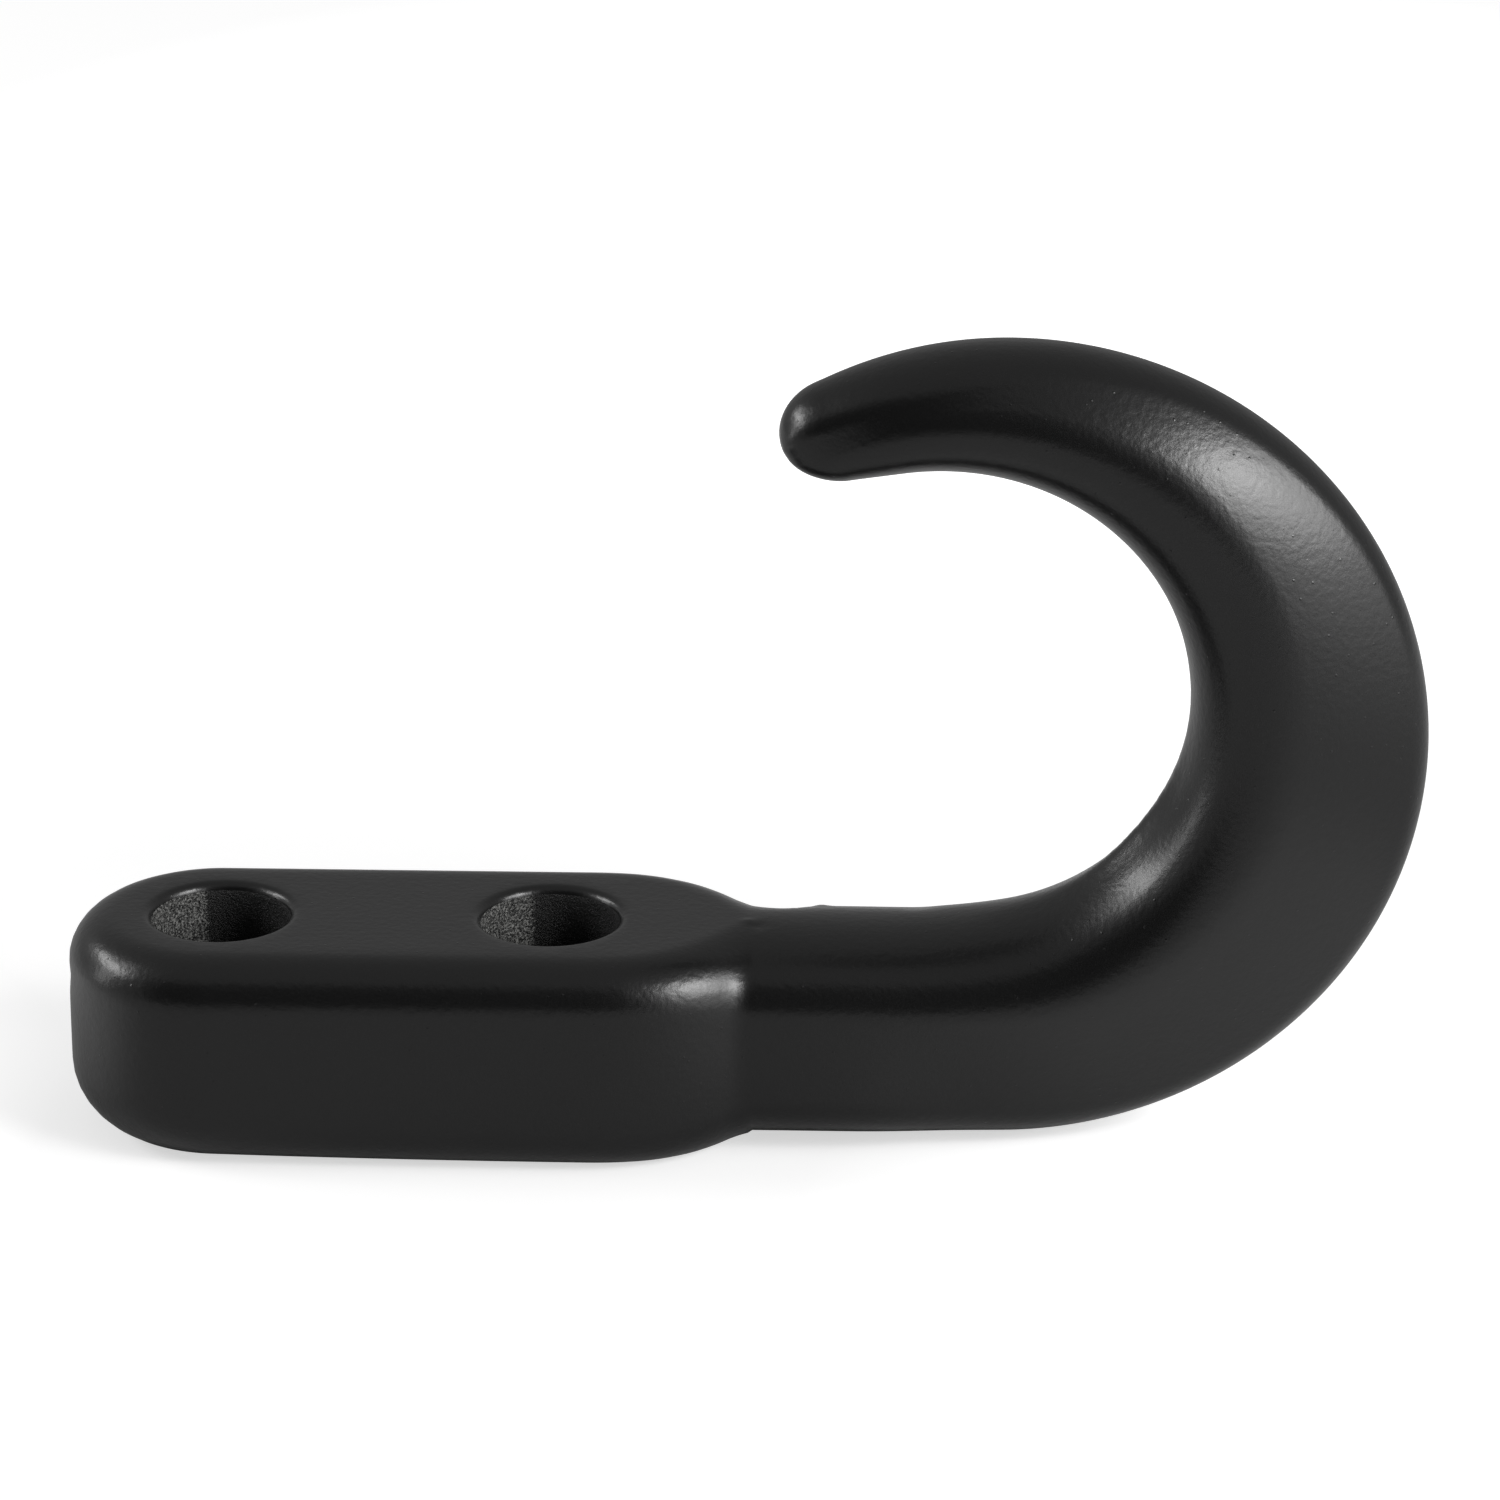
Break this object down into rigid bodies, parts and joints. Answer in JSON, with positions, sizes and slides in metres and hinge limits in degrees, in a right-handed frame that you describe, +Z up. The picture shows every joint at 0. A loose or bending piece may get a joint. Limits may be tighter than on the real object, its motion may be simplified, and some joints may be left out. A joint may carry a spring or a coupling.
{
  "type": "recovery tow hook",
  "caption": "Forged steel recovery tow hook: a thick bolt-on pad, a narrower crowned shank and an open round hook that tapers to a blunt point.",
  "frame": {"origin": "on the mounting face, midway between the bolt holes", "axes": "+X from the pad along the shank to the hook, +Z up out of the mounting face, +Y across"},
  "size_m": [0.143, 0.0314, 0.0878],
  "materials": {
    "powder_coat": "satin black powder coat"
  },
  "bodies": {
    "root": {"tow_hook": "powder_coat"}
  },
  "joints": []
}
